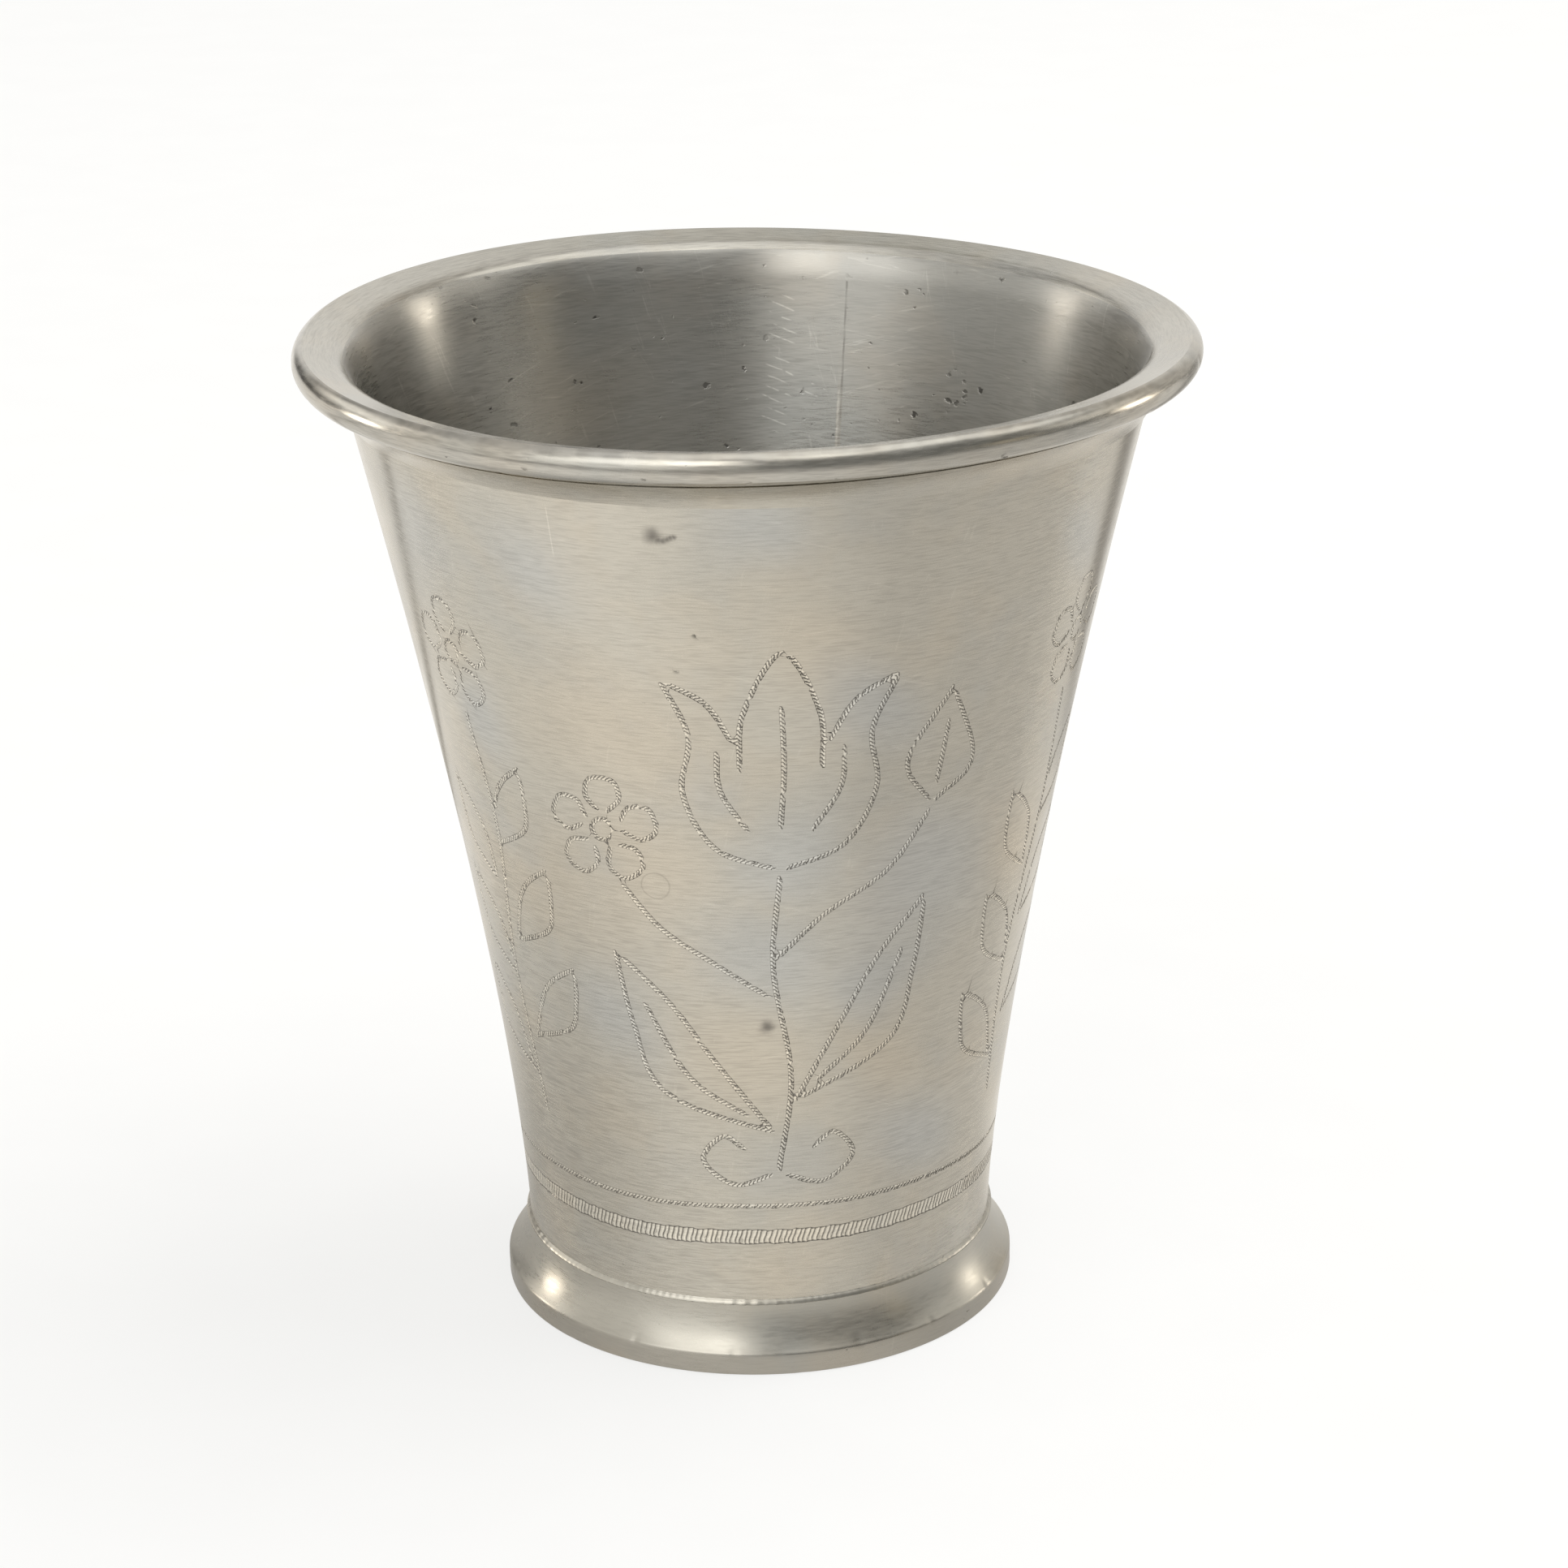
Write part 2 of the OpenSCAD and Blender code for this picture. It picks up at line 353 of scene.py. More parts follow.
def pewter(name, tones, roughness, anisotropy, brush, pits, scrapes, lean=0.02, streaks=0.1, grain=1.0,
           stains=(), marks=(), rubs=(), rings=(), hairlines=(), depth=0.0):
    """Worn pewter with turning lines, tarnish, pits and scratches.

    tones are the plain, the warm and the bluish colour, brush is the height of the turning lines in
    millimetres, lean their rise, streaks their contrast and grain their fineness, pits the spacing, largest
    size and share of the pits, scrapes how much the scratches show. stains, marks, rubs, rings and hairlines
    are places with a dark stain, many pits, slanted rubs, a faint ring or an upright light line, and depth is
    how far they lie inside the wall's outer face.
    """
    material = bpy.data.materials.new(name)
    material.use_nodes = True
    tree = Tree(material.node_tree)
    place = tree.vector("MULTIPLY", tree.add("TexCoord").outputs["Object"], (1 / MM, 1 / MM, 1 / MM))
    level = tree.add("SeparateXYZ", {0: place}).outputs[2]
    radius = tree.vector("LENGTH", tree.vector("MULTIPLY", place, (1, 1, 0)))

    # Unrolled place, cut open at the seam
    away = tree.vector("DOT_PRODUCT", place, (-sin(SEAM_TURN), cos(SEAM_TURN), 0))
    aside = tree.vector("DOT_PRODUCT", place, (cos(SEAM_TURN), sin(SEAM_TURN), 0))
    turn = tree.math("ARCTAN2", aside, away)
    rise = tree.plus(level, tree.times(radius, RADIUS_SHARE))
    flat = tree.combine(tree.times(turn, PATTERN_R), rise)

    # Turning and rubbing lines: long round the beaker, fine across
    along = tree.vector("DOT_PRODUCT", place, (-lean, lean * 0.4, 0))
    counter = tree.vector("DOT_PRODUCT", place, (lean * 0.5, lean * 0.5, 0))
    round_place = tree.vector("MULTIPLY", place, (0.16 * grain, 0.16 * grain, 0))
    fine = tree.combine(z=tree.times(tree.plus(rise, along), 2.8 * grain))
    cross = tree.combine(z=tree.times(tree.plus(rise, counter), 4.2 * grain))
    fine = tree.noise(tree.vector("ADD", round_place, fine), 1.0, 2.0, 0.6)
    cross = tree.noise(tree.vector("ADD", tree.vector("MULTIPLY", round_place, (2, 2, 0)), cross), 1.0, 1.0)
    lines = tree.plus(tree.times(fine, 0.5), tree.times(cross, 0.5))

    # Tarnish in soft patches
    cloud = tree.noise(place, 0.06, 3.0, 0.55)
    drift = tree.noise(tree.vector("ADD", place, (40, 90, 20)), 0.09, 3.0, 0.55)
    blue_amount = tree.larger(tree.ramp(cloud, 0.5, 0.7, 0.0, 0.5), tree.attribute("blue"))
    warm_amount = tree.larger(tree.ramp(drift, 0.46, 0.68, 0.0, 0.6), tree.attribute("warm"))
    plain, warm, blue = tones
    colour = tree.blend(tree.times(warm_amount, 0.8), plain, warm)
    colour = tree.blend(tree.times(blue_amount, 0.8), colour, blue)
    colour = tree.shade(colour, tree.ramp(lines, 0.32, 0.62, 1 - 0.7 * streaks, 1 + 0.3 * streaks))

    # Scratches in three directions, brighter than the worn skin
    hair = scratches(tree, flat, 9, 9.0, 0.5, 0.035)
    hair = tree.larger(hair, scratches(tree, flat, -21, 8.0, 0.5, 0.03))
    hair = tree.larger(hair, scratches(tree, flat, 78, 9.0, 0.7, 0.02))
    if rubs:
        rubbed = tree.times(rub_lines(tree, flat, 26, 1.3), RUB_CONTRAST)
        hair = tree.larger(hair, tree.times(rubbed, spots(tree, place, rubs, depth, 0.7)))
    colour = tree.lighten(colour, hair, scrapes)
    for mark_turn, low, high in hairlines:
        seam_turn = (radians(mark_turn) - SEAM_TURN) % (2 * pi) - pi
        apart = tree.times(tree.math("ABSOLUTE", tree.minus(turn, seam_turn)), radius)
        line = tree.times(tree.hump(level, low, low + 1, high - 1, high), tree.ramp(apart, 0.1, 0.03))
        colour = tree.lighten(colour, line, 0.2)
    for mark_turn, z, reach in rings:
        middle = place_round(radians(mark_turn), float(wall_radius(z)), z)
        apart = tree.minus(tree.vector("DISTANCE", tree.ragged(place, 0.5, 0.4), middle), reach)
        ring = tree.ramp(tree.math("ABSOLUTE", apart), 0.14, 0.04, 1.0, 0.84)
        colour = tree.shade(colour, ring)

    # Small dark pits, gathered in places
    gathered = tree.ramp(tree.noise(place, 0.05, 2.0), 0.4, 0.6, 0.25, 1.0)
    uneven = tree.ragged(tree.vector("MULTIPLY", place, (0.8, 0.8, 1.0)), 1.6, 1.0)
    spacing, largest, share = pits
    pit = flecks(tree, uneven, spacing, largest, share)
    pit = tree.larger(pit, flecks(tree, uneven, spacing * 0.45, largest * 0.4, share))
    pit = tree.times(pit, gathered)
    if marks:
        dense = flecks(tree, uneven, 0.9, 0.42, 0.75)
        dense = tree.times(dense, spots(tree, place, marks, depth, 0.3))
        pit = tree.larger(pit, dense)
    if stains:
        stain = spots(tree, tree.ragged(place, 0.9, 0.7), stains, depth, 0.0)
        colour = tree.blend(tree.times(stain, 0.75), colour, DIRT)
    colour = tree.blend(tree.times(pit, 0.7), colour, PIT_DIRT)

    # A thin film of dirt lies all over, thick in the cuts and wiped off the raised edges beside them, where a
    # painted highlight also lightens the colour
    cut = tree.attribute("cut")
    colour = tree.blend(tree.ramp(cut, -0.2, 0.4, 0.0, 0.85), colour, DIRT)
    colour = tree.shade(colour, tree.ramp(cut, 0.0, -1.0, 1.0, 1.35))

    # Gloss changes with the rubbing and the tarnish
    gloss = tree.plus(tree.ramp(lines, 0.3, 0.7, -0.05, 0.05), tree.ramp(cloud, 0.35, 0.65, -0.03, 0.05))
    rough = tree.larger(tree.plus(gloss, roughness), tree.times(pit, 0.7))
    height = tree.minus(tree.times(lines, brush), tree.times(pit, 0.05))
    bump = tree.add("Bump", {"Strength": 1.0, "Distance": MM, "Height": height})
    tangent = tree.add("Tangent", direction_type="RADIAL", axis="Z")
    shader = tree.add("BsdfPrincipled", {
        "Base Color": colour, "Metallic": 1.0, "Roughness": rough, "Anisotropic": anisotropy,
        "Anisotropic Rotation": 0.25, "Normal": bump.outputs[0], "Tangent": tangent.outputs[0],
    })
    tree.add("OutputMaterial", {"Surface": shader.outputs[0]})
    return material


# Dark stains, places with many pits, and rubbed places: turn, level and reach
OUTER_STAINS = [
    (-13.2, 102.8, 1.5), (-12.5, 102.4, 1.0), (-11.9, 102.4, 0.75), (-11.3, 102.5, 0.65),
    (-10.8, 102.6, 0.55), (-10.3, 102.7, 0.45), (2, 43.6, 1.3),
]
OUTER_PITS = [(-11.2, 87.6, 0.9), (-7.8, 91.8, 1.0), (17.5, 22.6, 0.8), (-34.2, 10, 0.8), (12, 70, 0.7)]
INNER_PITS = [
    (143, 97.4, 3.2), (139, 95.6, 2.0), (152, 107, 2.4), (-132, 108, 1.6), (172, 95.5, 1.6), (-150, 98, 1.8),
]
INNER_RUBS = [
    (174, 105, 1.9), (174, 102, 1.9), (174.5, 98, 2.0), (175, 95, 2.0), (175.5, 92, 1.8), (168.5, 96, 1.6),
]
RIM_PITS = [
    (-58, 110, 1.8), (-52, 109.8, 1.8), (-43, 110, 1.4), (-27, 109.8, 1.5), (-19, 109.7, 1.6),
    (-12, 109.8, 1.5), (1, 109.7, 1.6), (9, 109.8, 1.5), (31, 110, 1.6), (48, 110, 1.4), (70, 110.2, 1.5),
    (-75, 110.4, 1.6),
]
RIM_OVERHANG = 4.8
OUTER_RINGS = [(-18, 60.8, 1.6)]

# An upright light line: turn, lower and upper level
OUTER_HAIRLINES = [(-3.6, 99, 105.4)]

# Plain, warm and bluish colours
OUTER_TONES = ((0.68, 0.645, 0.565, 1), (0.73, 0.66, 0.545, 1), (0.63, 0.635, 0.615, 1))
# The inside's colours are darker than the outside's, though it is the same metal: painted shade inside the
# beaker
INNER_TONES_PAINTED_SHADE = ((0.555, 0.545, 0.51, 1), (0.58, 0.54, 0.475, 1), (0.53, 0.54, 0.525, 1))
RIM_TONES = ((0.60, 0.58, 0.525, 1), (0.63, 0.58, 0.495, 1), (0.56, 0.57, 0.555, 1))
FOOT_TONES = ((0.60, 0.575, 0.51, 1), (0.63, 0.575, 0.48, 1), (0.56, 0.57, 0.55, 1))
WORN_TONES = ((0.50, 0.475, 0.42, 1), (0.52, 0.47, 0.395, 1), (0.47, 0.47, 0.45, 1))
SOLDER_PITS = (0.8, 0.2, 0.4)

outside = pewter(
    "pewter_outside", OUTER_TONES, roughness=0.25, anisotropy=0.85, brush=0.002, pits=(5.0, 0.3, 0.16),
    scrapes=0.08, lean=0.03, streaks=0.22, grain=1.7, stains=OUTER_STAINS, marks=OUTER_PITS,
    rings=OUTER_RINGS, hairlines=OUTER_HAIRLINES)
inside = pewter(
    "pewter_inside", INNER_TONES_PAINTED_SHADE, roughness=0.31, anisotropy=0.88, brush=0.004, pits=(2.0, 0.42, 0.4),
    scrapes=0.2, lean=0.14, streaks=0.2, grain=1.3, marks=INNER_PITS, rubs=INNER_RUBS, depth=WALL)
rim_metal = pewter(
    "pewter_rim", RIM_TONES, roughness=0.21, anisotropy=0.2, brush=0.001, pits=(2.2, 0.25, 0.3),
    scrapes=0.04, streaks=0.24, grain=1.6, marks=RIM_PITS, depth=-RIM_OVERHANG)
foot_metal = pewter(
    "pewter_foot", FOOT_TONES, roughness=0.32, anisotropy=0.75, brush=0.002, pits=(3.0, 0.25, 0.2),
    scrapes=0.06, grain=2.0)
foot_band_metal = pewter(
    "pewter_foot_band", WORN_TONES, roughness=0.32, anisotropy=0.5, brush=0.003, pits=(1.6, 0.3, 0.35),
    scrapes=0.06, grain=1.5)
base_metal = pewter(
    "pewter_base", WORN_TONES, roughness=0.45, anisotropy=0.3, brush=0.01, pits=(3.0, 0.4, 0.25),
    scrapes=0.15)
fillet_metal = pewter(
    "solder_bright", FOOT_TONES, roughness=0.32, anisotropy=0.0, brush=0.004, pits=SOLDER_PITS, scrapes=0.05)
solder = pewter(
    "solder_grey", WORN_TONES, roughness=0.5, anisotropy=0.0, brush=0.01, pits=SOLDER_PITS, scrapes=0.05)


# Engraving: rows of small rocked cuts along drawn lines. Dirt-and-glint values above nil are dirt, below nil
# a painted highlight
UNROLLED_R = 36.0
PATH_STEP = 0.12
BURR = -0.008
FACET_REACH = 0.68
# How far the raised edge on one side of each cut is lightened: a painted highlight
PAINTED_GLINT = -0.8
END_DIRT = 0.55
SIDE_DIRT = 0.1
CELL = 0.19
END_SWING = 0.6
END_REACH = 1.5
PART_LENGTH = 0.35
BEYOND_END = 0.09
CLAIM_STEP = 0.1
MIDDLE_SHIFT = 0.4
CUT_DEPTH = 0.004


class Engraving:
    """Collects the (turn, level, depth, dirt and painted highlight) points and the edges of the cuts on the
    wall.
    """

    def __init__(self):
        self.points = []
        self.edges = []
        self.taken = set()

    def claim(self, places):
        """Takes the small cells under a stroke, unless an earlier stroke has one of them."""
        cells = {(round(turn * UNROLLED_R / CELL), round(z / CELL)) for turn, z in places}
        free = not cells & self.taken
        if free:
            self.taken |= cells
        return free

    def chain(self, places, closed=False):
        """Adds points, each joined to the next by an edge."""
        first = len(self.points)
        self.points += places
        last = len(self.points) - 1
        self.edges += [(i, i + 1) for i in range(first, last)]
        if closed:
            self.edges.append((last, first))


def smooth_line(control):
    """Evenly spaced points on a smooth line through control points."""
    control = np.array(control, float)
    padded = np.vstack([2 * control[0] - control[1], control, 2 * control[-1] - control[-2]])
    t = np.linspace(0, 1, 40, endpoint=False)[:, None]
    pieces = []
    for a, b, c, d in zip(padded, padded[1:], padded[2:], padded[3:]):
        bend = (2 * a - 5 * b + 4 * c - d) * t ** 2 + (3 * b - a - 3 * c + d) * t ** 3
        pieces.append(0.5 * (2 * b + (c - a) * t + bend))
    dense = np.vstack(pieces + [control[-1:]])
    length = np.concatenate([[0], np.cumsum(np.hypot(*np.diff(dense, axis=0).T))])
    even = np.arange(0, length[-1] + PATH_STEP / 2, PATH_STEP)
    return np.stack([np.interp(even, length, column) for column in dense.T], axis=1)


def wriggle(engraving, control, put, swing=0.22, advance=0.46, lean=0.2, width=0.15, depth=0.038):
    """Cuts a row of leaning strokes along a smooth path. put turns path points into turn and level."""
    path = smooth_line(control)
    along = np.gradient(path, axis=0)
    along /= np.hypot(along[:, :1], along[:, 1:])
    across = np.stack([-along[:, 1], along[:, 0]], axis=1)
    total = (len(path) - 1) * PATH_STEP
    place = random.uniform(0.1, 0.3)
    tone = random.uniform(0.25, 0.8)
    while place < total:
        i = int(place / PATH_STEP)
        tone = min(1, max(0.05, tone + random.gauss(0, 0.09)))
        near_end = min(1, END_SWING + place / END_REACH, END_SWING + (total - place) / END_REACH)
        reach = across[i] * swing * near_end * random.uniform(0.88, 1.1)
        reach = reach + along[i] * lean * random.uniform(0.8, 1.2)
        cut_stroke(engraving, path[i] - reach, path[i] + reach, tone, put, width, depth)
        place += advance * random.uniform(0.9, 1.1)


def cut_stroke(engraving, start, end, tone, put, width, depth):
    """One rocked cut, curved like an S: a steep face on one side, a gentle one on the other."""
    way = end - start
    length = math.hypot(*way)
    side = np.array([-way[1], way[0]]) / length
    bow = random.uniform(0.03, 0.06)
    heavy = depth * (0.75 + 0.5 * tone)
    parts = max(3, round(length / PART_LENGTH))
    beyond = BEYOND_END / length

    def spot(t):
        return start + way * t + side * bow * sin(2 * pi * t)

    claimed = np.linspace(-beyond, 1 + beyond, math.ceil(length / CLAIM_STEP) + 2)
    if not engraving.claim([put(spot(t)) for t in claimed]):
        return
    middle = []
    for i in range(parts + 1):
        t = i / parts
        dirt = 0.45 + 0.35 * tone + 0.2 * abs(2 * t - 1)
        sunk = heavy * (0.8 + 0.4 * abs(2 * t - 1))
        middle.append((*put(spot(t) - side * width * MIDDLE_SHIFT), sunk, dirt))
    engraving.chain(middle)

    # The raised edge runs all round the cut, with a painted highlight along one side and dirt along the other
    left, right = [], []
    for i in range(parts):
        t = (i + 0.5) / parts
        half = width * (0.6 + 0.4 * sin(pi * t))
        left.append((*put(spot(t) + side * half), BURR, PAINTED_GLINT))
        right.append((*put(spot(t) - side * (width * MIDDLE_SHIFT + half * 0.5)), BURR, SIDE_DIRT))
    ends = [(*put(spot(t)), BURR, END_DIRT) for t in (-beyond, 1 + beyond)]
    engraving.chain(ends[:1] + left + ends[1:] + right[::-1], closed=True)


def on_round(turn_degrees, level):
    """Places a flat drawing in millimetres on the wall."""
    turn = radians(turn_degrees)

    def put(point):
        z = level + point[1]
        return turn + point[0] / float(wall_radius(z)), z

    return put


def mirrored(control):
    return [(-x, y) for x, y in control]


def flower(centre, petals, reach, start=90):
    """Petal outlines of a small round flower, and the ring in its middle."""
    lines = []

    def at(turn, far):
        return centre[0] + reach * far * cos(turn), centre[1] + reach * far * sin(turn)

    for i in range(petals):
        middle = radians(start + 360 * i / petals)
        spread = pi / petals * 0.74
        outline = []
        for turn, far in ((-0.45, 0.36), (-1.0, 0.7), (-0.45, 0.98), (0.45, 0.98), (1.0, 0.7), (0.45, 0.36)):
            outline.append(at(middle + turn * spread, far))
        lines.append(outline)
    turns = np.radians(np.linspace(0, 335, 9))
    lines.append([at(turn, 0.2) for turn in turns])
    return lines


def leaf(start, bend, tip, fat, ribbed=True):
    """Two edges and the midrib of a leaf from its stalk over a bend point to its tip."""
    start, bend, tip = [np.array(point, float) for point in (start, bend, tip)]
    way = tip - start
    side = np.array([-way[1], way[0]]) / np.hypot(*way) * fat
    one = [start, bend + side, (bend + tip) / 2 + side * 0.75, tip]
    other = [start, bend - side, (bend + tip) / 2 - side * 0.75, tip]
    rib = [start * 0.7 + bend * 0.3, bend, bend * 0.4 + tip * 0.6]
    return [one, other, rib] if ribbed else [one, other]


# A tulip spray in millimetres, its root at the origin
TULIP_PETAL = [(-0.6, 38.4), (-7, 41), (-10.4, 47.5), (-9.8, 54.5), (-12.8, 61)]
TULIP_PETAL_BACK = [(-12.8, 61), (-8, 58.4), (-5, 53.6)]
TULIP_HEART = [(-4.4, 50.4), (-4, 57.4), (0, 64.4), (4, 57.4), (4.4, 50.4)]
TULIP_VEIN = [(-3.4, 43), (-6.4, 48), (-6.8, 53)]
SPRAY_STEM = [(0, 0), (1.3, 12), (-0.7, 26), (0, 37.6)]
SPRAY_CURL = [(-0.8, -0.6), (-5, -1.8), (-8.4, 1.2), (-6.2, 4.4), (-3.6, 2.6)]
LEFT_STALK = [(-1.2, 22.4), (-7, 26.5), (-13, 30.6), (-17.4, 35.6)]
RIGHT_STALK = [(-0.2, 27.4), (5, 32.5), (12, 37), (17, 43.5)]
BUD = [
    [(16.8, 44.5), (14, 50), (19.4, 58)],
    [(17.6, 44.5), (22.4, 48.6), (19.4, 58)],
    [(17.6, 46.5), (18.3, 50), (19, 54)],
]


def tulip_spray():
    lines = [SPRAY_STEM, TULIP_HEART, [(0, 43.4), (0.3, 50.4), (0, 58)]]
    for line in (TULIP_PETAL, TULIP_PETAL_BACK, TULIP_VEIN, SPRAY_CURL):
        lines += [line, mirrored(line)]
    lines += [LEFT_STALK, RIGHT_STALK] + BUD
    lines += leaf((-0.6, 5), (-10, 12), (-18.5, 27), 3.6)
    lines += leaf((1.8, 9), (9.8, 17), (16.8, 33), 3.4)
    lines += flower((-19.6, 42), 5, 6.4)
    return lines


def leafed_sprig():
    lines = [[(0, 0), (-1.4, 18), (1.1, 36), (0, 50)]]
    for i, level in enumerate((5, 17, 29)):
        reach = 9.6 - 1.1 * i
        lines += leaf((-1.4, level), (-0.55 * reach, level + 4.4), (-reach, level + 11), 2.4, False)
        lines += leaf((0.6, level + 5), (0.55 * reach, level + 9.4), (reach, level + 16), 2.4, False)
    lines += flower((0, 57), 5, 6.2)
    return lines


# Sprays and sprigs take turns round the wall, and the seam falls between two of them
SPRAYS = 3
SPRAY_TURN = 4.5
SPRAY_LEVEL = 25
engraving = Engraving()
for i in range(SPRAYS):
    put = on_round(SPRAY_TURN + 360 / SPRAYS * i, SPRAY_LEVEL)
    for line in tulip_spray():
        wriggle(engraving, line, put)
    put = on_round(SPRAY_TURN + 360 / SPRAYS * (i + 0.5), SPRAY_LEVEL + 2)
    for line in leafed_sprig():
        wriggle(engraving, line, put)

# Borders round the foot of the wall: a wide row of strokes and a fine line, both ending at the seam
SEAM_MARGIN = radians(1.6)
WALL_MIDDLE = SEAM_TURN - pi


def border(level, **cut):
    radius = float(wall_radius(level))
    reach = (pi - SEAM_MARGIN) * radius
    waver = [(x, 0.12 * sin(x / 9) + 0.08 * sin(x / 3.7)) for x in np.linspace(-reach, reach, 90)]

    def put(point):
        return WALL_MIDDLE + point[0] / radius, level + point[1]

    wriggle(engraving, waver, put, **cut)


border(16.2, swing=0.85, advance=0.56, lean=0.18)
border(20.2)

# The wall: an engraved outer face, a plain inner face, and the edges between them
COLUMNS = 120
ROWS = 54

# Soft patches of tarnish on the wall: turn in degrees, level and reach
BLUE_PATCHES = [
    (31, 59, 14), (27, 50, 9), (4, 66, 10), (6, 52, 12), (-60, 98, 11), (-34, 97, 12),
    (2, 103, 10), (20, 81, 10), (-50, 78, 9), (35, 27, 11), (-28, 45, 10), (120, 70, 16),
    (-120, 60, 14), (165, 90, 13), (-160, 40, 14), (85, 40, 12), (-95, 100, 12), (60, 95, 10),
]
WARM_PATCHES = [
    (-20, 78, 16), (-22, 62, 14), (12, 88, 11), (-2, 38, 13), (28, 40, 10), (-45, 60, 12),
    (95, 85, 15), (-100, 75, 14), (150, 55, 15), (-150, 95, 13), (60, 60, 12), (10, 14, 9),
]


def patch_amount(points, patches):
    """How strongly each point lies in one of the patches, whose outlines are uneven."""
    x, y, z = points.T
    warp = [np.sin(y / 4.1 + z / 5.3), np.sin(z / 3.7 + x / 6.1), np.sin(x / 4.6 + z / 9)]
    warped = points + 2.2 * np.stack(warp, axis=1)
    amount = np.zeros(len(points))
    for turn_degrees, level, reach in patches:
        middle = place_round(radians(turn_degrees), float(wall_radius(level)), level)
        near = np.clip(1.15 * (1 - np.linalg.norm(warped - middle, axis=1) / reach), 0, 1)
        amount = np.maximum(amount, near * near * (3 - 2 * near))
    return amount


def gap_half_turn(z):
    return np.arcsin(SEAM_W / 2 / wall_radius(z))


def to_turn(across, z):
    """Turn from the front for a place on the unrolled wall, which ends at the seam's two edges."""
    return WALL_MIDDLE + across / (pi * UNROLLED_R) * (pi - gap_half_turn(z))


def to_across(turn, z):
    wrapped = (turn - WALL_MIDDLE + pi) % (2 * pi) - pi
    return wrapped / (pi - float(gap_half_turn(z))) * pi * UNROLLED_R


def engraved_sheet(grid):
    """Triangles of the unrolled outer face, each point's depth, dirt and painted highlight, and where the
    grid's points went.
    """
    drawn = np.array([(to_across(turn, z), z) for turn, z, _, _ in engraving.points])
    places = [Vector(p) for p in np.vstack([grid, drawn])]
    given = np.zeros((len(places), 2))
    given[len(grid):] = np.array(engraving.points)[:, 2:]
    edges = [(a + len(grid), b + len(grid)) for a, b in engraving.edges]
    flat, all_edges, faces, sources, _, _ = delaunay_2d_cdt(places, edges, [], 0, 1e-5)

    count = len(flat)
    values, known = np.zeros((count, 2)), np.zeros(count, bool)
    new_index = np.full(len(places), -1)
    for i, origin in enumerate(sources):
        if origin:
            values[i] = given[origin].mean(axis=0)
            known[i] = True
            new_index[origin] = i
    # Where two cuts cross, the new point takes the mean of its neighbours
    ends = np.array(all_edges).T
    total, near = np.zeros((count, 2)), np.zeros(count)
    for a, b in (ends, ends[::-1]):
        np.add.at(total, a, values[b] * known[b, None])
        np.add.at(near, a, known[b])
    crossing = ~known & (near > 0)
    values[crossing] = total[crossing] / near[crossing, None]
    depth, dirt_and_glint = values.T
    return np.array([tuple(p) for p in flat]), [tuple(f) for f in faces], depth, dirt_and_glint, new_index


